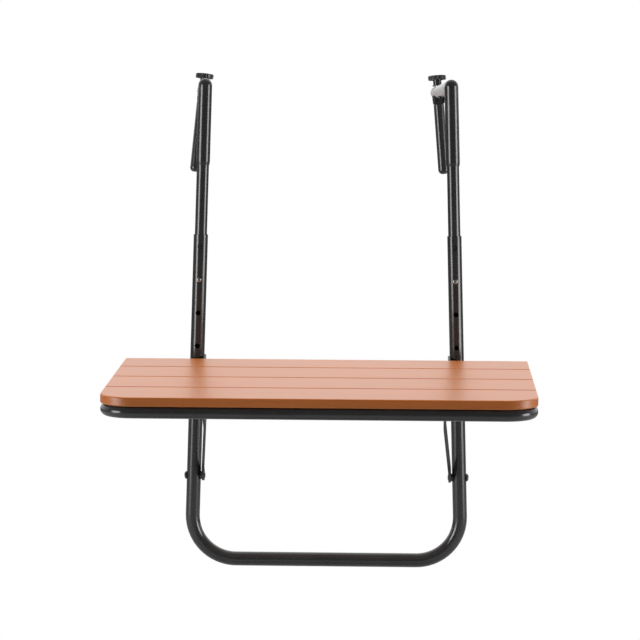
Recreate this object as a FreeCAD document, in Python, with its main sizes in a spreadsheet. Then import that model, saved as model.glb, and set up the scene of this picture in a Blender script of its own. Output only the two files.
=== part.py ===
import FreeCAD, Part
import Sketcher
import math
import os
from FreeCAD import Placement, Rotation, Vector

# Balcony railing bar table.
# Two hooks grip the top of a railing and carry a bent tube frame. A slatted tabletop is
# hinged to that frame and propped by two struts.
# The origin lies midway between the hooks, in the middle of the railing's thickness, at the
# height where the undersides of the two hook arms rest. +Z is up, +X is to the right of a
# person at the table, and that person sits on the -Y side.

doc = FreeCAD.newDocument("BalconyTable")
sheet = doc.addObject("Spreadsheet::Sheet", "Sizes")

# Sizes in millimetres and degrees
SIZES = {
    # placing of the main groups
    "rail_space": 60.0,
    "hinge_reach": 25.0,
    "hinge_setback": 11.0,
    "hinge_drop": 11.0,
    # lower frame
    "frame_tube_dia": 21.3,
    "frame_tube_wall": 1.2,
    "leg_half_span": 195.2,
    "leg_splay": 1.7,
    "leg_top": 183.0,
    "bar_drop": 311.0,
    "bar_bend_radius": 66.0,
    "snap_level": 115.5,
    "snap_pitch": 50.0,
    "snap_hole_dia": 7.6,
    # posts that slide in the legs
    "post_dia": 18.2,
    "post_wall": 1.2,
    "post_foot": 97.0,
    "post_head": 385.0,
    "snap_button_dia": 7.0,
    "snap_button_proud": 1.9,
    "snap_strip_wide": 9.0,
    "snap_strip_thick": 0.8,
    "snap_strip_high": 27.0,
    # hook heads
    "arm_rise": 21.0,
    "plug_long": 85.0,
    "plug_wall": 1.2,
    "plug_crown": 10.0,
    "sleeve_long": 118.5,
    "sleeve_wall": 1.2,
    "sleeve_taper": 5.0,
    "arm_slope": 8.0,
    "arm_tube_dia": 16.0,
    "arm_tube_wall": 1.2,
    "arm_sleeve_wall": 1.15,
    "arm_past_stud": 10.0,
    "arm_end_wall": 2.0,
    "clamp_travel": 25.0,
    "left_yaw": 6.0,
    "right_yaw": 14.2,
    "left_roll": 4.4,
    "right_roll": -0.9,
    # clearances
    "running_gap": 0.05,
    "fit_gap": 0.05,
    "side_gap": 0.1,
    "seat_gap": 0.2,
    "slot_gap": 0.3,
    # clamps
    "stud_dia": 8.0,
    "stud_in_knob": 10.0,
    "washer_dia": 16.0,
    "washer_thick": 1.0,
    "hub_dia": 12.8,
    "hub_high": 8.0,
    "knob_dia": 27.0,
    "knob_thick": 6.4,
    "knob_edge": 0.6,
    "knob_flutes": 14.0,
    "flute_dia": 4.0,
    "saddle_wide": 16.0,
    "saddle_foot_wide": 14.6,
    "saddle_long": 12.0,
    "saddle_horn": 5.0,
    "saddle_drop": 17.8,
    "saddle_rib": 1.2,
    "rear_leg_dia": 16.0,
    "rear_leg_wall": 1.2,
    "rear_leg_long": 97.4,
    "leg_nut_high": 14.0,
    "nut_flange": 2.3,
    "rear_cap_dome": 6.8,
    "rear_cap_plug": 12.0,
    # tabletop
    "table_wide": 600.0,
    "slat_thick": 13.0,
    "slat_wide": 101.0,
    "rear_slat_wide": 88.0,
    "slat_space": 3.0,
    "slat_edge": 2.0,
    "corner_radius": 45.0,
    "rim_dia": 17.0,
    "rim_wall": 1.2,
    "rim_rear_radius": 22.0,
    "rim_rear_inset": 2.0,
    # rails under the slats
    "rail_deep": 24.0,
    "rail_thick": 2.5,
    "rail_flange": 14.0,
    "rail_toe": 15.0,
    "rail_ramp": 59.0,
    "flange_start": 19.0,
    "ear_radius": 8.0,
    "screw_dia": 4.0,
    "screw_head_dia": 8.0,
    "screw_head_high": 1.8,
    "screw_bite": 9.0,
    "screw_edge": 25.0,
    # brackets, struts and pivots
    "bracket_thick": 4.0,
    "bracket_bite": 1.0,
    "bracket_rise": 13.0,
    "pivot_dia": 8.0,
    "pivot_head_dia": 13.0,
    "pivot_head_high": 3.2,
    "strut_pivot_drop": 183.0,
    "strut_length": 200.0,
    "strut_wide": 16.0,
    "strut_thick": 4.0,
    "strut_straight": 12.0,
    "strut_lean": 125.0,
    "strut_pin_drop": 34.0,
    "strut_side_gap": 0.4,
    "slot_wall": 8.0,
    "spacer_long": 1.5,
    "spacer_dia": 12.0,
    "rivet_dia": 6.0,
    "rivet_head_dia": 12.0,
    "rivet_head_high": 3.6,
    "rivet_end_dia": 10.0,
    "rivet_end_high": 1.0,
}

for row, (name, size) in enumerate(SIZES.items(), start=1):
    sheet.set("A%d" % row, name)
    sheet.set("B%d" % row, repr(size))
    sheet.setAlias("B%d" % row, name)
doc.recompute()

SIDES = {"left": -1, "right": 1}
POINT_TOLERANCE = 0.01
X_AXIS = (1, 0, 0)
Y_AXIS = (0, 1, 0)
Z_AXIS = (0, 0, 1)


# Expressions of sizes

def link(expression):
    """The same expression with every size name pointed at the sheet."""
    words = []
    word = ""
    for mark in expression + " ":
        if mark.isalnum() or mark in "_.":
            word += mark
            continue
        words.append("Sizes." + word if word in SIZES else word)
        words.append(mark)
        word = ""
    return "".join(words).strip()


def value(expression):
    """What an expression of sizes comes to."""
    return float(sheet.evalExpression(link(expression)))


def bind(thing, **sizes):
    """Tie properties of an object to expressions of sizes."""
    for name, expression in sizes.items():
        thing.setExpression(name, link(expression))


# Sketches

def new_body(name, placement):
    body = doc.addObject("PartDesign::Body", name)
    body.Placement = placement
    return body


def origin_plane(body, plane):
    return [part for part in body.Origin.OriginFeatures if part.Role == plane + "_Plane"][0]


def new_sketch(body, plane, name, offset="0"):
    """A sketch on one of the body's own planes, moved along its normal by offset."""
    sketch = body.newObject("Sketcher::SketchObject", name)
    sketch.AttachmentSupport = [(origin_plane(body, plane), "")]
    sketch.MapMode = "FlatFace"
    sketch.setExpression("AttachmentOffset.Base.z", link(offset))
    return sketch


def fix(sketch, kind, *where):
    """Add one constraint whose last item is an expression of sizes."""
    number = sketch.addConstraint(Sketcher.Constraint(kind, *where[:-1], value(where[-1])))
    sketch.setExpression("Constraints[%d]" % number, link(where[-1]))


def pin_point(sketch, piece, end, across, up):
    fix(sketch, "DistanceX", -1, 1, piece, end, across)
    fix(sketch, "DistanceY", -1, 1, piece, end, up)


def circle(sketch, across, up, diameter):
    centre = Vector(value(across), value(up), 0)
    piece = sketch.addGeometry(Part.Circle(centre, Vector(0, 0, 1), value(diameter) / 2))
    pin_point(sketch, piece, 3, across, up)
    fix(sketch, "Diameter", piece, diameter)


def outline(sketch, corners):
    """A closed run of straight lines through corners given as pairs of expressions."""
    spots = [Vector(value(across), value(up), 0) for across, up in corners]
    ends = spots[1:] + spots[:1]
    lines = [sketch.addGeometry(Part.LineSegment(a, b)) for a, b in zip(spots, ends)]
    for before, after in zip(lines, lines[1:] + lines[:1]):
        sketch.addConstraint(Sketcher.Constraint("Coincident", before, 2, after, 1))
    for line, (across, up) in zip(lines, corners):
        pin_point(sketch, line, 1, across, up)
    return lines


def join_tangent(sketch, piece, end, arc, spot):
    """Join an end of a line to whichever end of the arc lies at the spot."""
    near_start = sketch.Geometry[arc].StartPoint.distanceToPoint(spot) < POINT_TOLERANCE
    sketch.addConstraint(Sketcher.Constraint("Tangent", piece, end, arc, 1 if near_start else 2))


def rounded_path(sketch, corners, radii):
    """An open path of straight runs with a tangent arc at each inner corner."""
    spots = [Vector(value(across), value(up), 0) for across, up in corners]
    ends = [spots[0]]
    arcs = []
    for before, corner, after, radius in zip(spots, spots[1:], spots[2:], radii):
        back = (before - corner).normalize()
        ahead = (after - corner).normalize()
        half = back.getAngle(ahead) / 2
        reach = value(radius) / math.tan(half)
        depth = value(radius) / math.sin(half) - value(radius)
        middle = (back + ahead).normalize()
        arcs.append((corner + back * reach, corner + middle * depth, corner + ahead * reach))
        ends += [arcs[-1][0], arcs[-1][2]]
    ends.append(spots[-1])
    runs = [sketch.addGeometry(Part.LineSegment(a, b)) for a, b in zip(ends[::2], ends[1::2])]
    bends = [sketch.addGeometry(Part.Arc(*points)) for points in arcs]
    marks = [sketch.addGeometry(Part.Point(spot), True) for spot in spots[1:-1]]
    for number, (points, radius) in enumerate(zip(arcs, radii)):
        join_tangent(sketch, runs[number], 2, bends[number], points[0])
        join_tangent(sketch, runs[number + 1], 1, bends[number], points[2])
        for run in (runs[number], runs[number + 1]):
            sketch.addConstraint(Sketcher.Constraint("PointOnObject", marks[number], 1, run))
        fix(sketch, "Radius", bends[number], radius)
        pin_point(sketch, marks[number], 1, *corners[number + 1])
    pin_point(sketch, runs[0], 1, *corners[0])
    pin_point(sketch, runs[-1], 2, *corners[-1])


def long_hole(sketch, start, end, up, diameter):
    """A slot with round ends that lies along the sketch's first direction."""
    radius = value(diameter) / 2
    left = Vector(value(start), value(up), 0)
    right = Vector(value(end), value(up), 0)
    rise = Vector(0, radius, 0)
    side = Vector(radius, 0, 0)
    top = sketch.addGeometry(Part.LineSegment(left + rise, right + rise))
    bottom = sketch.addGeometry(Part.LineSegment(left - rise, right - rise))
    left_arc = sketch.addGeometry(Part.Arc(left + rise, left - side, left - rise))
    right_arc = sketch.addGeometry(Part.Arc(right - rise, right + side, right + rise))
    join_tangent(sketch, top, 1, left_arc, left + rise)
    join_tangent(sketch, bottom, 1, left_arc, left - rise)
    join_tangent(sketch, top, 2, right_arc, right + rise)
    join_tangent(sketch, bottom, 2, right_arc, right - rise)
    pin_point(sketch, left_arc, 3, start, up)
    pin_point(sketch, right_arc, 3, end, up)
    fix(sketch, "Diameter", left_arc, diameter)
    fix(sketch, "Diameter", right_arc, diameter)


# Features of a body

def pad(body, sketch, name, length, both=False, back=False):
    feature = body.newObject("PartDesign::Pad", name)
    feature.Profile = sketch
    feature.Midplane = both
    feature.Reversed = back
    bind(feature, Length=length)
    doc.recompute()
    return feature


def pocket(body, sketch, name, length, both=False, back=False):
    """Cut a sketch away, and make sure that the cut removes something."""
    doc.recompute()
    before = body.Shape.Volume
    feature = body.newObject("PartDesign::Pocket", name)
    feature.Profile = sketch
    feature.Midplane = both
    feature.Reversed = back
    bind(feature, Length=length)
    doc.recompute()
    if body.Shape.Volume >= before - POINT_TOLERANCE:
        raise RuntimeError("%s removes nothing" % name)
    return feature


def turn_profile(body, sketch, name):
    """Turn a sketch about the upright axis of its own plane."""
    feature = body.newObject("PartDesign::Revolution", name)
    feature.Profile = sketch
    feature.ReferenceAxis = (sketch, ["V_Axis"])
    feature.Angle = 360
    doc.recompute()
    return feature


def sweep(body, kind, profile, spine, name):
    feature = body.newObject("PartDesign::%sPipe" % kind, name)
    feature.Profile = profile
    feature.Spine = spine
    doc.recompute()
    return feature


def mirror(body, features, plane, name):
    feature = body.newObject("PartDesign::Mirrored", name)
    feature.Originals = features
    feature.MirrorPlane = (origin_plane(body, plane), [""])
    body.Tip = feature
    doc.recompute()


def round_edges(body, name, radius, chosen):
    """Round those edges of the body whose middle passes the chosen test."""
    doc.recompute()
    base = body.Tip
    names = []
    for number, edge in enumerate(base.Shape.Edges, start=1):
        if chosen(edge, edge.CenterOfMass):
            names.append("Edge%d" % number)
    feature = body.newObject("PartDesign::Fillet", name)
    feature.Base = (base, names)
    bind(feature, Radius=radius)
    doc.recompute()


# Plain solids

def at(across="0", along="0", up="0", turn=Rotation()):
    return Placement(Vector(value(across), value(along), value(up)), turn)


def about(axis, angle):
    return Rotation(Vector(*axis), angle)


def cylinder(name, radius, height, placement=Placement()):
    solid = doc.addObject("Part::Cylinder", name)
    bind(solid, Radius=radius, Height=height)
    solid.Placement = placement
    return solid


def ball(name, radius, placement=Placement()):
    solid = doc.addObject("Part::Sphere", name)
    bind(solid, Radius=radius)
    solid.Placement = placement
    return solid


def cone(name, foot_radius, top_radius, height, placement=Placement()):
    solid = doc.addObject("Part::Cone", name)
    bind(solid, Radius1=foot_radius, Radius2=top_radius, Height=height)
    solid.Placement = placement
    return solid


def box(name, length, width, height, placement=Placement()):
    solid = doc.addObject("Part::Box", name)
    bind(solid, Length=length, Width=width, Height=height)
    solid.Placement = placement
    return solid


def cut(name, base, tools, placement=Placement()):
    result = doc.addObject("Part::Cut", name)
    result.Base = base
    result.Tool = tools[0] if len(tools) == 1 else fuse(name + "_tools", tools)
    result.Placement = placement
    return result


def fuse(name, pieces, placement=Placement()):
    result = doc.addObject("Part::MultiFuse", name)
    result.Shapes = pieces
    result.Placement = placement
    return result


# Derived places and sizes
ARM_LEVEL = "(post_head + arm_rise)"
PLUG_FOOT = "(post_head - plug_long)"
SLEEVE_FOOT = "(%s - sleeve_long)" % ARM_LEVEL
PLUG_RADIUS = "(post_dia / 2 - post_wall - running_gap)"
SLEEVE_BORE_RADIUS = "(post_dia / 2 + running_gap)"
CROWN_RADIUS = "(%s - fit_gap)" % SLEEVE_BORE_RADIUS
SLEEVE_RADIUS = "(%s + sleeve_wall)" % SLEEVE_BORE_RADIUS
ARM_SLEEVE_BORE_RADIUS = "(arm_tube_dia / 2 + fit_gap)"
ARM_SLEEVE_RADIUS = "(%s + arm_sleeve_wall)" % ARM_SLEEVE_BORE_RADIUS
POST_Y = "(0 - rail_space / 2 - %s)" % SLEEVE_RADIUS
HINGE_Y = "(%s - hinge_reach)" % POST_Y
BACK_EDGE_Y = "(%s - hinge_setback)" % HINGE_Y
ARM_FALL = "((rail_space / 2 + %s) * tan(arm_slope))" % SLEEVE_RADIUS
TABLE_DROP = "(%s * cos(leg_splay) - %s - %s / cos(arm_slope))" % (ARM_LEVEL, ARM_FALL,
                                                                   ARM_SLEEVE_RADIUS)
STUD_OUT = "((%s + rail_space + rear_leg_dia / 2) / cos(arm_slope))" % SLEEVE_RADIUS
TABLE_DEEP = "(rear_slat_wide + 3 * (slat_wide + slat_space))"

LEG_AT_HINGE = "(leg_half_span + hinge_drop * tan(leg_splay))"
LEG_AT_RIVET = "(leg_half_span + strut_pivot_drop * tan(leg_splay))"
BRACKET_OUT = "(%s - frame_tube_dia / 2 + bracket_bite)" % LEG_AT_HINGE
BRACKET_IN = "(%s - bracket_thick)" % BRACKET_OUT
RAIL_OUT = "(%s - side_gap)" % BRACKET_IN
RAIL_IN = "(%s - rail_thick)" % RAIL_OUT
STRUT_TOP_OUT = "(%s - strut_side_gap)" % RAIL_IN
STRUT_TOP_IN = "(%s - strut_thick)" % STRUT_TOP_OUT
STRUT_FOOT_OUT = "(%s - frame_tube_dia / 2 - spacer_long - side_gap)" % LEG_AT_RIVET
STRUT_FOOT_IN = "(%s - strut_thick)" % STRUT_FOOT_OUT
STRUT_RISE = "(strut_pivot_drop - hinge_drop - strut_pin_drop)"


def leg_frame(side):
    """Leg axis at the level of the tabletop, leaning in towards the top."""
    sign = SIDES[side]
    spot = at("%d * leg_half_span" % sign, POST_Y, "0 - " + TABLE_DROP)
    return spot * Placement(Vector(), about(Y_AXIS, -sign * value("leg_splay")))


def head_frame(side):
    """Leg frame turned to where the hook points."""
    return leg_frame(side) * Placement(Vector(), about(Z_AXIS, value(side + "_yaw")))


def arm_frame(side):
    """Hook arm: y runs along the arm to the rear and z is the way of the clamp's stud."""
    turn = about(X_AXIS, -value("arm_slope")) * about(Y_AXIS, value(side + "_roll"))
    return head_frame(side) * at(up=ARM_LEVEL, turn=turn)


def stud_frame(side):
    return arm_frame(side) * at(along=STUD_OUT)


def table_frame():
    """Middle of the tabletop's back edge, on its top surface."""
    return at("0", BACK_EDGE_Y, "0 - " + TABLE_DROP)


def strut_frame():
    """Lower strut pivots: z runs up along the struts."""
    climb = math.asin(value(STRUT_RISE) / value("strut_length"))
    turn = about(X_AXIS, 90 - math.degrees(climb))
    return at("0", POST_Y, "0 - %s - strut_pivot_drop" % TABLE_DROP, turn)


def outward(sign, start, along="0", up="0"):
    """A place on an axis across the table, looking away from its middle."""
    return at("%d * %s" % (sign, start), along, up, about(Y_AXIS, 90 * sign))


# Lower frame

def make_frame():
    """One tube bent into a U, with a row of snap holes in the front of each leg."""
    body = new_body("u_frame", at("0", POST_Y, "0 - " + TABLE_DROP))
    spine = new_sketch(body, "XZ", "frame_spine")
    foot = "(leg_half_span + bar_drop * tan(leg_splay))"
    top = "(leg_half_span - leg_top * tan(leg_splay))"
    corners = [("0", "0 - bar_drop"), (foot, "0 - bar_drop"), (top, "leg_top")]
    rounded_path(spine, corners, ["bar_bend_radius"])
    section = new_sketch(body, "YZ", "frame_section")
    circle(section, "0", "0 - bar_drop", "frame_tube_dia")
    bore_section = new_sketch(body, "YZ", "frame_bore_section")
    circle(bore_section, "0", "0 - bar_drop", "frame_tube_dia - 2 * frame_tube_wall")
    doc.recompute()
    tube = sweep(body, "Additive", section, spine, "frame_tube")
    bore = sweep(body, "Subtractive", bore_section, spine, "frame_bore")
    holes = new_sketch(body, "XZ", "snap_holes")
    for step in (1, 0, -1, -2):
        level = "(snap_level + %d * snap_pitch)" % step
        across = "leg_half_span - %s * sin(leg_splay)" % level
        circle(holes, across, "%s * cos(leg_splay)" % level, "snap_hole_dia")
    snaps = pocket(body, holes, "snap_hole_row", "frame_tube_dia", back=True)
    mirror(body, [tube, bore, snaps], "YZ", "frame_halves")
    pivots = new_sketch(body, "YZ", "strut_rivet_circle")
    circle(pivots, "0", "0 - strut_pivot_drop", "rivet_dia + 2 * fit_gap")
    pocket(body, pivots, "strut_rivet_holes", "3 * leg_half_span", both=True)


def leg_core(name, side):
    """The space that a leg's tube fills, for pieces that are fitted round it."""
    return cylinder(name, "frame_tube_dia / 2", "bar_drop + leg_top",
                    leg_frame(side) * at(up="0 - bar_drop"))


def make_bracket(side):
    """Hinge plate welded to the front of the leg and notched round its tube."""
    sign = SIDES[side]
    start = "%d * %s" % (sign, BRACKET_IN)
    body = new_body(side + "_bracket_plate", at("0", HINGE_Y, "0 - %s - hinge_drop" % TABLE_DROP))
    plate = new_sketch(body, "YZ", side + "_bracket_outline", start)
    outline(plate, [("0", "0 - ear_radius"), ("hinge_reach", "0 - bracket_rise"),
                    ("hinge_reach", "bracket_rise"), ("0", "ear_radius")])
    pad(body, plate, side + "_bracket_pad", "bracket_thick", back=sign < 0)
    ear = new_sketch(body, "YZ", side + "_bracket_ear", start)
    circle(ear, "0", "0", "2 * ear_radius")
    pad(body, ear, side + "_bracket_ear_pad", "bracket_thick", back=sign < 0)
    hole = new_sketch(body, "YZ", side + "_bracket_hole")
    circle(hole, "0", "0", "pivot_dia + 2 * running_gap")
    pocket(body, hole, side + "_bracket_bore", "3 * leg_half_span", both=True)
    cut(side + "_hinge_bracket", body, [leg_core(side + "_bracket_notch", side)])


def make_strut_rivet(side):
    """Rivet through the leg and the strut, with a domed head, and the spacer between them."""
    sign = SIDES[side]
    frame = at("0", POST_Y, "0 - %s - strut_pivot_drop" % TABLE_DROP)
    head_face = "(%s + frame_tube_dia / 2)" % LEG_AT_RIVET
    end_face = "(%s - side_gap)" % STRUT_FOOT_IN
    rim = "rivet_head_high / 3"
    body = new_body(side + "_strut_rivet", frame * outward(sign, "0"))
    profile = new_sketch(body, "XZ", side + "_rivet_profile")
    outline(profile, [("0", end_face + " - rivet_end_high"),
                      ("rivet_end_dia / 3", end_face + " - rivet_end_high"),
                      ("rivet_end_dia / 2", end_face), ("rivet_dia / 2", end_face),
                      ("rivet_dia / 2", head_face), ("rivet_head_dia / 2", head_face),
                      ("rivet_head_dia / 2", "%s + %s" % (head_face, rim)),
                      ("rivet_head_dia / 2.6", "%s + 2.3 * %s" % (head_face, rim)),
                      ("rivet_head_dia / 5", "%s + rivet_head_high" % head_face),
                      ("0", "%s + rivet_head_high" % head_face)])
    turn_profile(body, profile, side + "_rivet_turned")
    blank = cylinder(side + "_spacer_blank", "spacer_dia / 2", "spacer_long + frame_tube_dia / 2",
                     frame * outward(sign, "(%s + side_gap)" % STRUT_FOOT_OUT))
    bore = cylinder(side + "_spacer_bore", "rivet_dia / 2", "2 * spacer_dia",
                    frame * outward(sign, STRUT_FOOT_OUT))
    cut(side + "_spacer", blank, [bore, leg_core(side + "_spacer_notch", side)])


# Tabletop

SLATS = {
    "slat_rear": ("0", "rear_slat_wide"),
    "slat_mid_rear": ("(rear_slat_wide + slat_space)", "slat_wide"),
    "slat_mid_front": ("(rear_slat_wide + slat_wide + 2 * slat_space)", "slat_wide"),
    "slat_front": ("(rear_slat_wide + 2 * slat_wide + 3 * slat_space)", "slat_wide"),
}
FLANGE_MIDDLE = "(%s + rail_flange / 2)" % RAIL_OUT
RAIL_REACH = "(%s - rim_dia - fit_gap)" % TABLE_DEEP
RAIL_FOOT = "(slat_thick + rail_deep)"
RAIL_PIN_LEVEL = "(0 - hinge_drop - strut_pin_drop)"
PIN_REACH = "sqrt(pow(strut_length, 2) - pow(%s, 2))" % STRUT_RISE
PIN_CLIMB = "sqrt(pow(strut_length, 2) - pow(hinge_reach + strut_pin_drop, 2))"
SLOT_FAR = "(hinge_setback + hinge_reach - %s)" % PIN_REACH
SLOT_NEAR = "(hinge_setback - %s + strut_pivot_drop - hinge_drop)" % PIN_CLIMB


def screw_rows(names):
    """Distances behind the back edge's line at which screws hold the named slats."""
    rows = []
    for name in names:
        start, wide = SLATS[name]
        rows.append("(0 - %s - screw_edge)" % start)
        rows.append("(0 - %s - %s + screw_edge)" % (start, wide))
    return rows


def screw_circles(sketch, rows, diameter, signs=(-1, 1)):
    for row in rows:
        for sign in signs:
            circle(sketch, "%d * %s" % (sign, FLANGE_MIDDLE), row, diameter)


def make_slat(name):
    start, wide = SLATS[name]
    half = "table_wide / 2"
    body = new_body(name, table_frame())
    plan = new_sketch(body, "XY", name + "_plan")
    back = "0 - " + start
    front = "0 - %s - %s" % (start, wide)
    outline(plan, [("0 - " + half, back), (half, back), (half, front), ("0 - " + half, front)])
    pad(body, plan, name + "_pad", "slat_thick", back=True)
    if name == "slat_front":
        line = value(front)
        round_edges(body, name + "_corners", "corner_radius",
                    lambda edge, spot: abs(spot.y - line) < 1 and abs(abs(spot.x) - value(half)) < 1
                    and edge.Length < value("slat_thick") + 1)
    round_edges(body, name + "_edges", "slat_edge", lambda edge, spot: True)
    holes = new_sketch(body, "XY", name + "_screw_circles", "0 - slat_thick")
    screw_circles(holes, screw_rows([name]), "screw_dia")
    pocket(body, holes, name + "_screw_holes", "screw_bite", back=True)


def make_rim():
    """Tube ring under the slats, flush with their outer edges."""
    body = new_body("rim_frame", table_frame())
    level = "0 - slat_thick - rim_dia / 2"
    side = "table_wide / 2 - rim_dia / 2"
    front = "0 - %s + rim_dia / 2" % TABLE_DEEP
    rear = "0 - rim_rear_inset - rim_dia / 2"
    spine = new_sketch(body, "XY", "rim_spine", level)
    corners = [("0", front), (side, front), (side, rear), ("0", rear)]
    rounded_path(spine, corners, ["corner_radius - rim_dia / 2", "rim_rear_radius"])
    section = new_sketch(body, "YZ", "rim_section")
    circle(section, front, level, "rim_dia")
    bore_section = new_sketch(body, "YZ", "rim_bore_section")
    circle(bore_section, front, level, "rim_dia - 2 * rim_wall")
    doc.recompute()
    tube = sweep(body, "Additive", section, spine, "rim_tube")
    bore = sweep(body, "Subtractive", bore_section, spine, "rim_bore")
    mirror(body, [tube, bore], "YZ", "rim_halves")


def make_rail(side):
    """Angle rail along the underside, with a hinge ear and a deeper plate for the strut's slot."""
    sign = SIDES[side]
    start = "%d * %s" % (sign, RAIL_IN)
    body = new_body(side + "_rail", table_frame())
    web = new_sketch(body, "YZ", side + "_rail_outline", start)
    slant = "(ear_radius * sin(45))"
    plate_foot = "%s - pivot_dia / 2 - slot_wall" % RAIL_PIN_LEVEL
    outline(web, [("0 - " + RAIL_REACH, "0 - slat_thick"),
                  ("0 - " + RAIL_REACH, "0 - slat_thick - rail_toe"),
                  ("rail_ramp - " + RAIL_REACH, "0 - " + RAIL_FOOT),
                  (SLOT_FAR + " - 3 * slot_wall", "0 - " + RAIL_FOOT),
                  (SLOT_FAR + " - slot_wall", plate_foot),
                  (SLOT_NEAR + " + slot_wall", plate_foot),
                  ("hinge_setback + " + slant, "0 - hinge_drop - " + slant),
                  ("hinge_setback", "0 - slat_thick")])
    pad(body, web, side + "_rail_web", "rail_thick", back=sign < 0)
    ear = new_sketch(body, "YZ", side + "_rail_ear", start)
    circle(ear, "hinge_setback", "0 - hinge_drop", "2 * ear_radius")
    pad(body, ear, side + "_rail_ear_pad", "rail_thick", back=sign < 0)
    flange = new_sketch(body, "YZ", side + "_rail_flange_section", start)
    outline(flange, [("0 - " + RAIL_REACH, "0 - slat_thick"),
                     ("0 - " + RAIL_REACH, "0 - slat_thick - rail_thick"),
                     ("0 - flange_start", "0 - slat_thick - rail_thick"),
                     ("0 - flange_start", "0 - slat_thick")])
    pad(body, flange, side + "_rail_flange", "rail_thick + rail_flange", back=sign < 0)
    notch = new_sketch(body, "YZ", side + "_rail_notch_circle")
    circle(notch, "0 - rim_rear_inset - rim_dia / 2", "0 - slat_thick - rim_dia / 2",
           "rim_dia + 2 * fit_gap")
    pocket(body, notch, side + "_rail_notch", "3 * leg_half_span", both=True)
    pivot = new_sketch(body, "YZ", side + "_rail_pivot_circle")
    circle(pivot, "hinge_setback", "0 - hinge_drop", "pivot_dia")
    pocket(body, pivot, side + "_rail_pivot_hole", "3 * leg_half_span", both=True)
    slot = new_sketch(body, "YZ", side + "_rail_slot_outline")
    long_hole(slot, SLOT_FAR, SLOT_NEAR, RAIL_PIN_LEVEL, "pivot_dia")
    pocket(body, slot, side + "_rail_slot", "3 * leg_half_span", both=True)
    holes = new_sketch(body, "XY", side + "_rail_screw_circles", "0 - slat_thick")
    screw_circles(holes, screw_rows(SLATS), "screw_dia", (sign,))
    pocket(body, holes, side + "_rail_screw_holes", "rail_thick")


def make_screws():
    """Screws that hold the slats to the flanges of both rails."""
    body = new_body("slat_screws", table_frame())
    face = "(0 - slat_thick - rail_thick)"
    heads = new_sketch(body, "XY", "screw_head_circles", face)
    screw_circles(heads, screw_rows(SLATS), "screw_head_dia")
    pad(body, heads, "screw_heads", "screw_head_high", back=True)
    shanks = new_sketch(body, "XY", "screw_shank_circles", face)
    screw_circles(shanks, screw_rows(SLATS), "screw_dia")
    pad(body, shanks, "screw_shanks", "rail_thick + screw_bite - seat_gap")


def make_hinge_pin(side):
    """Pin with a head on the outer face of the bracket, pressed into the rail's ear."""
    sign = SIDES[side]
    frame = at("0", HINGE_Y, "0 - %s - hinge_drop" % TABLE_DROP)
    shank = cylinder(side + "_hinge_pin_shank", "pivot_dia / 2",
                     "rail_thick + side_gap + bracket_thick + side_gap + pivot_head_high / 2",
                     frame * outward(sign, RAIL_IN))
    head = cylinder(side + "_hinge_pin_head", "pivot_head_dia / 2", "pivot_head_high",
                    frame * outward(sign, "(%s + side_gap)" % BRACKET_OUT))
    fuse(side + "_hinge_pin", [shank, head])


# Struts

def make_strut(side):
    """Flat bar with round ends that leans inward from the leg to the rail."""
    sign = SIDES[side]
    body = new_body(side + "_strut", strut_frame())
    half = "strut_wide / 2"
    bend = "(strut_straight + strut_lean)"
    outer = [(STRUT_FOOT_OUT, "0 - " + half), (STRUT_FOOT_OUT, "strut_straight"),
             (STRUT_TOP_OUT, bend), (STRUT_TOP_OUT, "strut_length + " + half)]
    inner = [(STRUT_TOP_IN, "strut_length + " + half), (STRUT_TOP_IN, bend),
             (STRUT_FOOT_IN, "strut_straight"), (STRUT_FOOT_IN, "0 - " + half)]
    side_view = new_sketch(body, "XZ", side + "_strut_side_view")
    outline(side_view, [("%d * %s" % (sign, across), up) for across, up in outer + inner])
    pad(body, side_view, side + "_strut_pad", "strut_wide", both=True)
    ends = (value("0 - " + half), value("strut_length + " + half))
    round_edges(body, side + "_strut_ends", "strut_wide / 2 - fit_gap",
                lambda edge, spot: min(abs(spot.z - end) for end in ends) < POINT_TOLERANCE
                and abs(abs(spot.y) - value(half)) < POINT_TOLERANCE)
    foot = new_sketch(body, "YZ", side + "_strut_foot_circle")
    circle(foot, "0", "0", "rivet_dia + 2 * running_gap")
    pocket(body, foot, side + "_strut_foot_hole", "3 * leg_half_span", both=True)
    top = new_sketch(body, "YZ", side + "_strut_top_circle")
    circle(top, "0", "strut_length", "pivot_dia - 1")
    pocket(body, top, side + "_strut_top_hole", "3 * leg_half_span", both=True)


def make_strut_pin(side):
    """Pin riveted in the strut's upper end, level with its outer face."""
    sign = SIDES[side]
    shank = cylinder(side + "_strut_pin_shank", "(pivot_dia - 1) / 2", "strut_thick",
                     outward(sign, STRUT_TOP_IN, "0", "strut_length"))
    head = cylinder(side + "_strut_pin_head", "pivot_head_dia / 2", "pivot_head_high",
                    outward(sign, "(%s - pivot_head_high)" % STRUT_TOP_IN, "0", "strut_length"))
    fuse(side + "_strut_pin", [shank, head], strut_frame())


# Posts with their snap buttons

def make_post(side):
    """Tube that slides in the leg, with a hole for its snap button."""
    frame = leg_frame(side)
    long = "post_head - post_foot"
    tube = cylinder(side + "_post_outer", "post_dia / 2", long, at(up="post_foot"))
    bore = cylinder(side + "_post_inner", "post_dia / 2 - post_wall", long, at(up="post_foot"))
    hole = cylinder(side + "_post_hole", "snap_hole_dia / 2", "post_dia",
                    at(up="snap_level", turn=about(X_AXIS, 90)))
    cut(side + "_post", tube, [bore, hole], frame)


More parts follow.
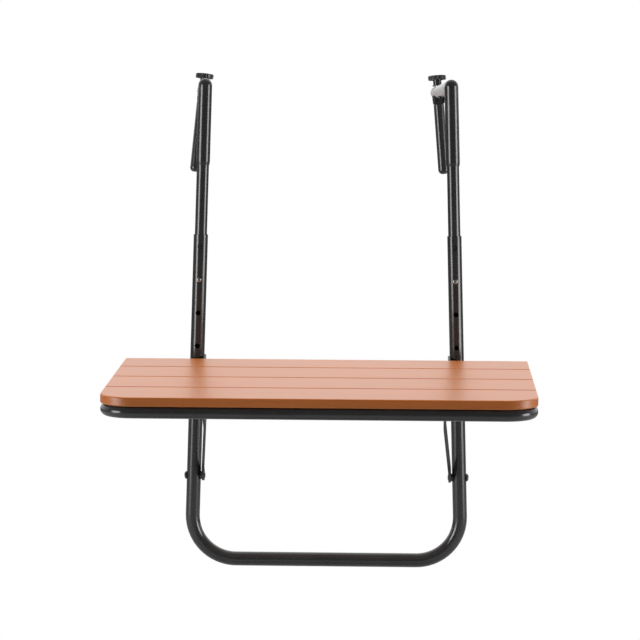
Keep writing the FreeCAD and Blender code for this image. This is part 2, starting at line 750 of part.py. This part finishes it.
def make_snap_clip(side):
    """Folded leaf spring inside the post that pushes a round button through both tubes."""
    body = new_body(side + "_snap_clip", leg_frame(side) * at(up="snap_level"))
    room = "(sqrt(pow(post_dia / 2 - post_wall, 2) - pow(snap_strip_wide / 2, 2)) - seat_gap)"
    top = "snap_strip_high / 2"
    knee = "(0 - snap_strip_high / 4)"
    foot = "(0 - snap_strip_high / 2)"
    thick = "snap_strip_thick"
    narrow = "(%s / 2)" % room
    outside = [(room, top), (room, knee), (narrow, foot)]
    inside = [("%s - %s" % (narrow, thick), "%s + %s" % (foot, thick)),
              ("%s - %s" % (room, thick), knee), ("%s - %s" % (room, thick), top)]
    flip = [("0 - (%s)" % across, up) for across, up in outside]
    flip_inside = [("0 - (%s)" % across, up) for across, up in inside]
    strip = new_sketch(body, "YZ", side + "_clip_strip")
    outline(strip, outside + flip[::-1] + flip_inside[::-1] + inside)
    pad(body, strip, side + "_clip_leaf", "snap_strip_wide", both=True)
    reach = "(frame_tube_dia / 2 + snap_button_proud)"
    shoulder = "(%s - snap_button_dia / 8)" % reach
    button = new_sketch(body, "XZ", side + "_button_circle", room + " - " + thick)
    circle(button, "0", "0", "snap_button_dia")
    pad(body, button, side + "_button", "%s - %s + %s" % (reach, room, thick))
    round_edges(body, side + "_button_crown", "snap_button_dia / 5",
                lambda edge, spot: spot.y < 0 - value(shoulder))


# Hook heads

def slot_space(name, radius):
    """The slot along the arm in which the clamp's stud travels."""
    wide = "(%s)" % radius
    start = "(%s - clamp_travel)" % STUD_OUT
    tall = "2 * arm_tube_dia"
    low = "0 - arm_tube_dia"
    pieces = [cylinder(name + "_near", wide, tall, at(along=start, up=low)),
              cylinder(name + "_far", wide, tall, at(along=STUD_OUT, up=low)),
              box(name + "_middle", "2 * " + wide, "clamp_travel", tall,
                  at("0 - " + wide, start, low))]
    return fuse(name, pieces)


def arm_solid(name, radius, start, end):
    return cylinder(name, radius, "%s - %s" % (end, start),
                    at(along=start, turn=about(X_AXIS, -90)))


def to_arm(side):
    """From the head's own frame to its arm's."""
    return head_frame(side).inverse() * arm_frame(side)


def make_head(side):
    """Plug tube that turns in the post, welded to a sloping arm with a slot for the clamp."""
    arm_end = "(%s + arm_past_stud - arm_end_wall)" % STUD_OUT
    plug = cylinder(side + "_head_plug", PLUG_RADIUS, "plug_long + arm_rise", at(up=PLUG_FOOT))
    collar = cylinder(side + "_head_collar", CROWN_RADIUS, "arm_rise - seat_gap",
                      at(up="post_head + seat_gap"))
    crown = ball(side + "_head_crown", CROWN_RADIUS, at(up=ARM_LEVEL))
    arm = arm_solid(side + "_head_arm", "arm_tube_dia / 2", "0", arm_end)
    arm.Placement = to_arm(side) * arm.Placement
    bore = cylinder(side + "_head_bore", PLUG_RADIUS + " - plug_wall",
                    "plug_long + plug_crown", at(up=PLUG_FOOT))
    hollow = arm_solid(side + "_arm_bore", "arm_tube_dia / 2 - arm_tube_wall",
                       "post_dia", arm_end)
    hollow.Placement = to_arm(side) * hollow.Placement
    slot = slot_space(side + "_arm_slot", "stud_dia / 2 + slot_gap")
    slot.Placement = to_arm(side)
    welded = fuse(side + "_head_welded", [plug, collar, crown, arm])
    cut(side + "_head", welded, [bore, hollow, slot], head_frame(side))


def make_head_sleeve(side):
    """Plastic sleeve with a domed top over the head and the upper part of the post."""
    skirt = cone(side + "_sleeve_skirt", "%s - sleeve_wall / 2" % SLEEVE_RADIUS, SLEEVE_RADIUS,
                 "sleeve_taper", at(up=SLEEVE_FOOT))
    wall = cylinder(side + "_sleeve_wall", SLEEVE_RADIUS,
                    "sleeve_long - sleeve_taper", at(up=SLEEVE_FOOT + " + sleeve_taper"))
    dome = ball(side + "_sleeve_dome", SLEEVE_RADIUS, at(up=ARM_LEVEL))
    bore = cylinder(side + "_sleeve_bore", SLEEVE_BORE_RADIUS, "sleeve_long", at(up=SLEEVE_FOOT))
    inner_dome = ball(side + "_sleeve_inner_dome", SLEEVE_BORE_RADIUS, at(up=ARM_LEVEL))
    window = arm_solid(side + "_sleeve_window", "%s + fit_gap" % ARM_SLEEVE_RADIUS, "0",
                       "arm_tube_dia")
    window.Placement = to_arm(side) * window.Placement
    outer = fuse(side + "_sleeve_outer", [skirt, wall, dome])
    cut(side + "_head_sleeve", outer, [bore, inner_dome, window], head_frame(side))


def make_arm_sleeve(side):
    """Plastic sleeve over the arm, closed at its rear end and slotted like the arm."""
    arm_end = "(%s + arm_past_stud - arm_end_wall)" % STUD_OUT
    outer = arm_solid(side + "_arm_sleeve_outer", ARM_SLEEVE_RADIUS, "0",
                      arm_end + " + arm_end_wall")
    bore = arm_solid(side + "_arm_sleeve_bore", ARM_SLEEVE_BORE_RADIUS, "0", arm_end)
    room = cylinder(side + "_arm_sleeve_root", SLEEVE_BORE_RADIUS, "4 * arm_tube_dia",
                    to_arm(side).inverse() * at(up=ARM_LEVEL + " - 4 * arm_tube_dia"))
    crown = ball(side + "_arm_sleeve_crown", SLEEVE_BORE_RADIUS)
    slot = slot_space(side + "_arm_sleeve_slot", "stud_dia / 2 + slot_gap")
    cut(side + "_arm_sleeve", outer, [bore, room, crown, slot], arm_frame(side))


# Clamps

WASHER_FACE = "(%s + seat_gap)" % ARM_SLEEVE_RADIUS
HUB_FACE = "(%s + washer_thick + running_gap)" % WASHER_FACE


def make_washer(side):
    disc = cylinder(side + "_washer_disc", "washer_dia / 2", "washer_thick", at(up=WASHER_FACE))
    hole = cylinder(side + "_washer_hole", "stud_dia / 2 + side_gap", "washer_thick",
                    at(up=WASHER_FACE))
    cut(side + "_washer", disc, [hole], stud_frame(side))


def make_knob(side):
    """Fluted hand knob with a smaller hub below its disc."""
    body = new_body(side + "_knob", stud_frame(side) * at(up=HUB_FACE))
    profile = new_sketch(body, "XZ", side + "_knob_profile")
    hub = "hub_dia / 2"
    disc = "knob_dia / 2"
    top = "hub_high + knob_thick"
    outline(profile, [("0", "0"), (hub + " - knob_edge", "0"), (hub, "knob_edge"),
                      (hub, "hub_high"), (disc + " - knob_edge", "hub_high"),
                      (disc, "hub_high + knob_edge"), (disc, top + " - knob_edge"),
                      (disc + " - knob_edge", top), ("0", top)])
    turn_profile(body, profile, side + "_knob_turned")
    flute = new_sketch(body, "XY", side + "_flute_circle")
    circle(flute, disc + " + flute_dia / 4", "0", "flute_dia")
    groove = pocket(body, flute, side + "_flute", "2 * (hub_high + knob_thick)", both=True)
    pattern = body.newObject("PartDesign::PolarPattern", side + "_flutes")
    pattern.Originals = [groove]
    pattern.Axis = (profile, ["V_Axis"])
    pattern.Angle = 360
    bind(pattern, Occurrences="knob_flutes")
    body.Tip = pattern
    doc.recompute()
    hole = new_sketch(body, "XY", side + "_knob_hole_circle")
    circle(hole, "0", "0", "stud_dia")
    pocket(body, hole, side + "_knob_hole", "stud_in_knob", back=True)


def make_clamp_bolt(side):
    """Stud fixed in the knob, reaching through the arm into the nut of the rear leg."""
    foot = "(0 - saddle_drop - leg_nut_high - 2)"
    tip = cone(side + "_clamp_tip", "stud_dia / 2 - 1", "stud_dia / 2", "1", at(up=foot))
    stud = cylinder(side + "_clamp_stud", "stud_dia / 2",
                    "%s + stud_in_knob - 1 - %s" % (HUB_FACE, foot), at(up=foot + " + 1"))
    fuse(side + "_clamp_bolt", [tip, stud], stud_frame(side))


def make_saddle(side):
    """Cross-ribbed block with a hollow top that seats against the underside of the arm."""
    body = new_body(side + "_saddle_block", Placement())
    section = new_sketch(body, "XZ", side + "_saddle_section")
    top = "saddle_wide / 2"
    foot = "saddle_foot_wide / 2"
    waist = "0 - %s - 2" % ARM_SLEEVE_RADIUS
    outline(section, [(top, "0 - saddle_horn"), (top, waist), (foot, "0 - saddle_drop"),
                      ("0 - " + foot, "0 - saddle_drop"), ("0 - " + top, waist),
                      ("0 - " + top, "0 - saddle_horn")])
    pad(body, section, side + "_saddle_pad", "saddle_long", both=True)
    panels = new_sketch(body, "XZ", side + "_saddle_panels", "saddle_long / 2")
    for sign in (-1, 1):
        outline(panels, [("%d * (saddle_wide / 2 - saddle_rib)" % sign,
                          "0 - saddle_horn - 3 * saddle_rib"),
                         ("%d * saddle_rib" % sign, "0 - (saddle_horn + saddle_drop) / 2 - saddle_rib"),
                         ("%d * (saddle_foot_wide / 2 - saddle_rib)" % sign,
                          "saddle_rib - saddle_drop")])
    recess = pocket(body, panels, side + "_saddle_recess", "saddle_rib")
    mirror(body, [recess], "XZ", side + "_saddle_recesses")
    hollow = cylinder(side + "_saddle_hollow", ARM_SLEEVE_RADIUS + " + seat_gap",
                      "2 * saddle_long", at(along="0 - saddle_long", turn=about(X_AXIS, -90)))
    bore = cylinder(side + "_saddle_bore", "stud_dia / 2 + side_gap", "2 * saddle_drop",
                    at(up="0 - 2 * saddle_drop"))
    cut(side + "_saddle", body, [hollow, bore], stud_frame(side))


REAR_TUBE_TOP = "(0 - saddle_drop - nut_flange)"


def make_rear_leg(side):
    """Short tube behind the railing."""
    foot = "(%s - rear_leg_long)" % REAR_TUBE_TOP
    tube = cylinder(side + "_rear_tube", "rear_leg_dia / 2", "rear_leg_long", at(up=foot))
    bore = cylinder(side + "_rear_bore", "rear_leg_dia / 2 - rear_leg_wall", "rear_leg_long",
                    at(up=foot))
    cut(side + "_rear_leg", tube, [bore], stud_frame(side))


def make_leg_nut(side):
    """Long nut pressed in the rear leg's top, with a rounded flange over the tube's end."""
    body = new_body(side + "_leg_nut", stud_frame(side) * at(up=REAR_TUBE_TOP))
    profile = new_sketch(body, "XZ", side + "_nut_profile")
    thread = "stud_dia / 2 + side_gap"
    shank = "rear_leg_dia / 2 - rear_leg_wall"
    foot = "nut_flange - leg_nut_high"
    outline(profile, [(thread, foot), (shank, foot), (shank, "0"), ("rear_leg_dia / 2", "0"),
                      ("rear_leg_dia / 2", "nut_flange"), (thread, "nut_flange")])
    turn_profile(body, profile, side + "_nut_turned")
    round_edges(body, side + "_nut_shoulder", "nut_flange * 0.8",
                lambda edge, spot: abs(spot.z - value("nut_flange")) < POINT_TOLERANCE
                and edge.Curve.Radius > value(shank))


def make_rear_cap(side):
    """Plastic end cap with a rounded foot and a plug that fits inside the tube."""
    foot = REAR_TUBE_TOP + " - rear_leg_long"
    body = new_body(side + "_rear_cap", stud_frame(side) * at(up=foot))
    profile = new_sketch(body, "XZ", side + "_cap_profile")
    outer = "rear_leg_dia / 2"
    inner = "%s - rear_leg_wall" % outer
    outline(profile, [("0", "rear_cap_plug"), (inner, "rear_cap_plug"), (inner, "0"), (outer, "0"),
                      (outer, "0 - rear_cap_dome"), ("0", "0 - rear_cap_dome")])
    turn_profile(body, profile, side + "_cap_turned")
    round_edges(body, side + "_cap_foot", "rear_cap_dome * 0.95",
                lambda edge, spot: abs(spot.z + value("rear_cap_dome")) < POINT_TOLERANCE)


# Build

make_frame()
for name in SLATS:
    make_slat(name)
make_rim()
make_screws()
for side in SIDES:
    make_bracket(side)
    make_strut_rivet(side)
    make_rail(side)
    make_hinge_pin(side)
    make_strut(side)
    make_strut_pin(side)
    make_post(side)
    make_snap_clip(side)
    make_head(side)
    make_head_sleeve(side)
    make_arm_sleeve(side)
    make_washer(side)
    make_knob(side)
    make_clamp_bolt(side)
    make_saddle(side)
    make_rear_leg(side)
    make_leg_nut(side)
    make_rear_cap(side)
doc.recompute()

NODES = ["u_frame", "rim_frame", "slat_screws"] + list(SLATS)
PAIRED = ["hinge_bracket", "strut_rivet", "spacer", "rail", "hinge_pin", "strut", "strut_pin",
          "post", "snap_clip", "head", "head_sleeve", "arm_sleeve", "washer", "knob",
          "clamp_bolt", "saddle", "rear_leg", "leg_nut", "rear_cap"]
NODES += [side + "_" + piece for side in SIDES for piece in PAIRED]

for thing in doc.Objects:
    if "Invalid" in thing.State or "Error" in thing.State:
        raise RuntimeError("%s did not compute: %s" % (thing.Label, thing.State))
    if thing.isDerivedFrom("Sketcher::SketchObject") and not thing.FullyConstrained:
        raise RuntimeError("%s is not fully constrained" % thing.Label)

os.makedirs("parts", exist_ok=True)
for name in NODES:
    thing = doc.getObject(name)
    thing.Label = name
    if thing.Shape.isNull() or not thing.Shape.isValid() or thing.Shape.Volume <= 0:
        raise RuntimeError("%s has no valid solid" % name)
    thing.Shape.exportStep("parts/%s.step" % name)
    print(name, len(thing.Shape.Solids), round(thing.Shape.Volume, 1))
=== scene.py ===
"""Looks of the balcony railing bar table: materials, floor, light and camera around the CAD frame."""

import math

import bpy
from mathutils import Matrix, Vector


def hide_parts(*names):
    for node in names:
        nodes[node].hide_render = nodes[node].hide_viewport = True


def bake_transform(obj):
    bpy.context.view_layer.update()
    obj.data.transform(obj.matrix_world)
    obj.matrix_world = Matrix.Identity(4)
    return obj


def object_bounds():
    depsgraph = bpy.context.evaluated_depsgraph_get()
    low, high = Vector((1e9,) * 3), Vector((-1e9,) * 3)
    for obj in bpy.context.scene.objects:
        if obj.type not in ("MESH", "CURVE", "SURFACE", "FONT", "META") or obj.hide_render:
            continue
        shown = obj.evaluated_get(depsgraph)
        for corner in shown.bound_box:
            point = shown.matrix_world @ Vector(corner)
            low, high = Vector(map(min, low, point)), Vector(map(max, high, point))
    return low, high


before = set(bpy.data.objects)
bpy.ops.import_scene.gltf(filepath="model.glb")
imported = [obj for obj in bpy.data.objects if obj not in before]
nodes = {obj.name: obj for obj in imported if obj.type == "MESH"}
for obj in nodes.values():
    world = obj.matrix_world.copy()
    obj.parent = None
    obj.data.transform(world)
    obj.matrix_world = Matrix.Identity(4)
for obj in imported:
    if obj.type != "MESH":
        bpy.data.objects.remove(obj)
cad_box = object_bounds()

SIDES = ("left", "right")

# Camera of the photograph, in the part's frame: metres and radians, the sensor in millimetres
CAMERA_PLACE = Vector((0.11643, -4.28710, 0.18051))
CAMERA_YAW = -0.029907
CAMERA_PITCH = 0.120972
CAMERA_ROLL = 0.0043
CAMERA_REACH = 200
FOCAL_PIXELS = 2848.478
FRAME_PIXELS = 640
SENSOR = 36.0

# Colours, linear
WOOD_DARK = (0.300, 0.077, 0.0055, 1)
WOOD_MID = (0.355, 0.094, 0.0070, 1)
WOOD_LIGHT = (0.405, 0.112, 0.0090, 1)
COAT_BLACK = (0.0215, 0.0215, 0.0218, 1)
COAT_GREY = (0.0255, 0.0255, 0.0258, 1)
PLASTIC_BLACK = (0.0195, 0.0195, 0.0198, 1)
PLASTIC_WORN = (0.0235, 0.0235, 0.0238, 1)
PLASTIC_GREY = (0.40, 0.40, 0.40, 1)
PLASTIC_PALE = (0.45, 0.45, 0.45, 1)
ZINC_DARK = (0.50, 0.50, 0.50, 1)
ZINC_LIGHT = (0.78, 0.78, 0.77, 1)
FLOOR_PALE = (0.42, 0.42, 0.42, 1)
WHITE = (1, 1, 1, 1)

# How many times finer noise is along X, Y and Z; the boards run along X
EVEN = (1.0, 1.0, 1.0)
BROAD_GRAIN = (2.0, 40.0, 40.0)
FINE_GRAIN = (6.0, 420.0, 420.0)

# Share of the fine grain in the boards' colour; the broad grain has the rest
FINE_SHARE = 0.6

# Roughness of each finish, at its glossiest and at its dullest spots
WOOD_ROUGHNESS = (0.30, 0.40)
COAT_ROUGHNESS = (0.16, 0.21)
BLACK_PLASTIC_ROUGHNESS = (0.17, 0.22)
GREY_PLASTIC_ROUGHNESS = (0.45, 0.55)
ZINC_ROUGHNESS = (0.22, 0.38)

# Scale of the finest grain in the coat and in the plastics, about its spots to a metre
COAT_SPECKLES = 900.0
PLASTIC_SPECKLES = 1400.0


# Node helpers

def fill(tree, node, inputs):
    """Sets each named input to a plain value, or links another node's output to it."""
    for name, value in inputs.items():
        if isinstance(value, bpy.types.NodeSocket):
            tree.links.new(value, node.inputs[name])
        else:
            node.inputs[name].default_value = value


def add_node(tree, kind, inputs, **options):
    """Makes a shader node with its own options, fills its inputs and gives its outputs."""
    node = tree.nodes.new("ShaderNode" + kind)
    for option, choice in options.items():
        setattr(node, option, choice)
    fill(tree, node, inputs)
    return node.outputs


def stretched_place(tree, scale):
    """Object coordinates, multiplied along each axis so that noise is drawn out into grain."""
    place = add_node(tree, "TexCoord", {})["Object"]
    return add_node(tree, "Mapping", {"Vector": place, "Scale": scale})["Vector"]


def noise(tree, place, scale, detail, roughness=0.55):
    """Noise from 0 to 1, whose smaller waves are stronger with more roughness."""
    return add_node(tree, "TexNoise", {"Vector": place, "Scale": scale, "Detail": detail,
                                       "Roughness": roughness})["Fac"]


def ramp(tree, value, stops):
    """Colours along a value: stops are pairs of position and colour."""
    node = tree.nodes.new("ShaderNodeValToRGB")
    while len(node.color_ramp.elements) < len(stops):
        node.color_ramp.elements.new(0.5)
    for element, (position, color) in zip(node.color_ramp.elements, stops):
        element.position = position
        element.color = color
    fill(tree, node, {"Fac": value})
    return node.outputs["Color"]


def map_range(tree, value, low, high, from_low=0.0, from_high=1.0):
    """Low where the value is from_low, high where it is from_high, and in line between."""
    return add_node(tree, "MapRange", {"Value": value, "From Min": from_low, "From Max": from_high,
                                       "To Min": low, "To Max": high})["Result"]


def mix(tree, share, first, second):
    """The first number where the share is 0, the second where it is 1."""
    return add_node(tree, "Mix", {"Factor": share, "A": first, "B": second},
                    data_type="FLOAT")["Result"]


def bump(tree, height, strength, distance):
    """Relief without a change of shape: a surface normal from heights, distance in metres."""
    return add_node(tree, "Bump", {"Height": height, "Strength": strength,
                                   "Distance": distance})["Normal"]


def new_material(name):
    """A material with its node tree and the shader in it."""
    material = bpy.data.materials.new(name)
    material.use_nodes = True
    return material, material.node_tree, material.node_tree.nodes["Principled BSDF"]


# Materials

def wood_material():
    """Orange-brown boards with fine grain along their length."""
    material, tree, shader = new_material("board_wood")
    broad = noise(tree, stretched_place(tree, BROAD_GRAIN), scale=1.6, detail=3.0)
    fine = noise(tree, stretched_place(tree, FINE_GRAIN), scale=1.0, detail=5.0, roughness=0.62)
    grain = mix(tree, FINE_SHARE, broad, fine)
    color = ramp(tree, grain, [(0.30, WOOD_DARK), (0.50, WOOD_MID), (0.72, WOOD_LIGHT)])
    fill(tree, shader, {"Base Color": color,
                        "Roughness": map_range(tree, fine, *WOOD_ROUGHNESS),
                        "Specular IOR Level": 0.5,
                        "Coat Weight": 0.6,
                        "Coat Roughness": 0.5,
                        "Normal": bump(tree, fine, strength=0.20, distance=0.0002)})
    return material


def coated_material(name, dark, light, roughness, speckles):
    """Even surface with slight clouds in its colour and a fine grain in gloss and relief."""
    material, tree, shader = new_material(name)
    place = stretched_place(tree, EVEN)
    speckle = noise(tree, place, scale=speckles, detail=3.0, roughness=0.6)
    cloud = noise(tree, place, scale=22.0, detail=3.0)
    fill(tree, shader, {"Base Color": ramp(tree, cloud, [(0.35, dark), (0.65, light)]),
                        "Roughness": map_range(tree, speckle, *roughness),
                        "Specular IOR Level": 0.62,
                        "Normal": bump(tree, speckle, strength=0.04, distance=0.0001)})
    return material


def zinc_material():
    """Bright plated steel with slight cloudiness."""
    material, tree, shader = new_material("plated_steel")
    cloud = noise(tree, stretched_place(tree, EVEN), scale=160.0, detail=4.0)
    fill(tree, shader, {"Base Color": ramp(tree, cloud, [(0.3, ZINC_DARK), (0.7, ZINC_LIGHT)]),
                        "Roughness": map_range(tree, cloud, *ZINC_ROUGHNESS),
                        "Metallic": 1.0,
                        "Normal": bump(tree, cloud, strength=0.08, distance=0.0001)})
    return material


def dress(material, names):
    """Gives the named CAD nodes a material in place of their own."""
    for name in names:
        mesh = nodes[name].data
        mesh.materials.clear()
        mesh.materials.append(material)


def both(*pieces):
    """The names of left-hand and right-hand pieces."""
    return [side + "_" + piece for side in SIDES for piece in pieces]


def dress_all():
    dress(wood_material(), ["slat_rear", "slat_mid_rear", "slat_mid_front", "slat_front"])
    dress(coated_material("black_coat", COAT_BLACK, COAT_GREY, COAT_ROUGHNESS, COAT_SPECKLES),
          ["u_frame", "rim_frame"] + both("hinge_bracket", "rail", "strut", "post", "head",
                                          "rear_leg", "strut_rivet", "hinge_pin", "strut_pin",
                                          "leg_nut", "washer"))
    dress(coated_material("black_plastic", PLASTIC_BLACK, PLASTIC_WORN,
                          BLACK_PLASTIC_ROUGHNESS, PLASTIC_SPECKLES),
          both("head_sleeve", "knob", "saddle", "rear_cap", "spacer"))
    dress(coated_material("grey_plastic", PLASTIC_GREY, PLASTIC_PALE,
                          GREY_PLASTIC_ROUGHNESS, PLASTIC_SPECKLES),
          both("arm_sleeve"))
    dress(zinc_material(), ["slat_screws"] + both("snap_clip", "clamp_bolt"))


# Snap clips, copied as objects of their own in place of the CAD ones


def make_bending_clip(side):
    """The snap clip again, as a copy of its own in place of the CAD clip, which is hidden."""
    name = side + "_snap_clip"
    clip = bpy.data.objects.new(side + "_bending_clip", nodes[name].data.copy())
    bpy.context.scene.collection.objects.link(clip)
    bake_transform(clip)
    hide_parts(name)


# World: the strength that each kind of ray meets

SEEN_LIGHT = 1.0
SPREAD_LIGHT = 0.09
MIRRORED_IN_FRONT = 0.075
MIRRORED_BEHIND = 1.15
# Y of a ray's direction, from where mirrored light is all front to where it is all behind
FRONT_ENDS = -0.1
BEHIND_BEGINS = 0.7


def make_world():
    """White to the camera and through clear things, grey to surfaces, brighter behind in gloss."""
    world = bpy.data.worlds.new("studio")
    bpy.context.scene.world = world
    world.use_nodes = True
    tree = world.node_tree
    ray = add_node(tree, "LightPath", {})
    direction = add_node(tree, "TexCoord", {})["Generated"]
    backward = add_node(tree, "SeparateXYZ", {"Vector": direction})["Y"]
    mirrored = map_range(tree, backward, MIRRORED_IN_FRONT, MIRRORED_BEHIND,
                         FRONT_ENDS, BEHIND_BEGINS)
    indirect = mix(tree, ray["Is Glossy Ray"], SPREAD_LIGHT, mirrored)
    direct = add_node(tree, "Math", {0: ray["Is Camera Ray"], 1: ray["Is Transmission Ray"]},
                      operation="MAXIMUM")["Value"]
    fill(tree, tree.nodes["Background"], {"Color": WHITE,
                                          "Strength": mix(tree, direct, indirect, SEEN_LIGHT)})


# Floor, in metres

FLOOR_GAP = 0.35
FLOOR_HALF = 30.0
FLOOR_ROUGHNESS = 0.9


def make_floor():
    """Pale floor below the table that lights it from below; the camera sees white instead."""
    level = cad_box[0][2] - FLOOR_GAP
    corners = [(-FLOOR_HALF, -FLOOR_HALF, level), (FLOOR_HALF, -FLOOR_HALF, level),
               (FLOOR_HALF, FLOOR_HALF, level), (-FLOOR_HALF, FLOOR_HALF, level)]
    mesh = bpy.data.meshes.new("floor")
    mesh.from_pydata(corners, [], [(0, 1, 2, 3)])
    floor = bpy.data.objects.new("floor", mesh)
    bpy.context.scene.collection.objects.link(floor)
    material, tree, shader = new_material("pale_floor")
    fill(tree, shader, {"Base Color": FLOOR_PALE, "Roughness": FLOOR_ROUGHNESS})
    mesh.materials.append(material)
    floor.visible_camera = False


# Lamps, in metres and watts: the softboxes are mirrored in the tubes, the others only give light

SOFTBOX_PLACE = {"left": (-2.68, -1.94), "right": (3.08, -1.08)}
SOFTBOX_TARGET = (0, -0.2)
SOFTBOX_WIDTH = 1.5
# Name, level, height and watts of the two softboxes on each side
SOFTBOXES = [("softbox", -0.15, 1.3, 44), ("low_softbox", -0.93, 0.26, 4)]
TABLE_MIDDLE = (0, -0.2, -0.3)
TOP_PLACE = (0, 0.6, 2.6)
TOP_SIZE = (2.6, 2.0)
TOP_WATTS = 142
FILL_PLACE = {"left": (-3.2, -0.9, 0.3), "right": (3.2, -0.9, 0.3)}
FILL_SIZE = (1.0, 1.0)
FILL_WATTS = 45


def make_area(name, place, target, size, watts, mirrored):
    """A rectangular lamp that faces its target."""
    light = bpy.data.lights.new(name, "AREA")
    light.shape = "RECTANGLE"
    light.size, light.size_y = size
    light.energy = watts
    lamp = bpy.data.objects.new(name, light)
    bpy.context.scene.collection.objects.link(lamp)
    lamp.location = place
    lamp.visible_glossy = mirrored
    lamp.rotation_euler = (Vector(target) - Vector(place)).to_track_quat("-Z", "Y").to_euler()


def make_lamps():
    for side in SIDES:
        for kind, level, height, watts in SOFTBOXES:
            make_area(side + "_" + kind, SOFTBOX_PLACE[side] + (level,),
                      SOFTBOX_TARGET + (level,), (SOFTBOX_WIDTH, height), watts, mirrored=True)
    make_area("top_softbox", TOP_PLACE, TABLE_MIDDLE, TOP_SIZE, TOP_WATTS, mirrored=False)
    for side in SIDES:
        make_area(side + "_fill", FILL_PLACE[side], TABLE_MIDDLE, FILL_SIZE, FILL_WATTS,
                  mirrored=False)


def make_camera():
    """The photograph's camera: yaw turns it about Z, pitch looks down, roll turns the picture."""
    cos_yaw, sin_yaw = math.cos(CAMERA_YAW), math.sin(CAMERA_YAW)
    cos_pitch, sin_pitch = math.cos(CAMERA_PITCH), math.sin(CAMERA_PITCH)
    ahead = Vector((sin_yaw * cos_pitch, cos_yaw * cos_pitch, -sin_pitch))
    level = Vector((cos_yaw, -sin_yaw, 0))
    rise = level.cross(ahead)
    right = math.cos(CAMERA_ROLL) * level + math.sin(CAMERA_ROLL) * rise
    up = math.cos(CAMERA_ROLL) * rise - math.sin(CAMERA_ROLL) * level
    data = bpy.data.cameras.new("camera")
    data.sensor_width = SENSOR
    data.lens = FOCAL_PIXELS * SENSOR / FRAME_PIXELS
    data.clip_end = CAMERA_REACH
    camera = bpy.data.objects.new("camera", data)
    bpy.context.scene.collection.objects.link(camera)
    turn = Matrix((right, up, -ahead)).transposed().to_4x4()
    camera.matrix_world = Matrix.Translation(CAMERA_PLACE) @ turn
    bpy.context.scene.camera = camera


dress_all()
for side in SIDES:
    make_bending_clip(side)
make_world()
make_floor()
make_lamps()
make_camera()
bpy.context.scene.view_settings.view_transform = "Standard"
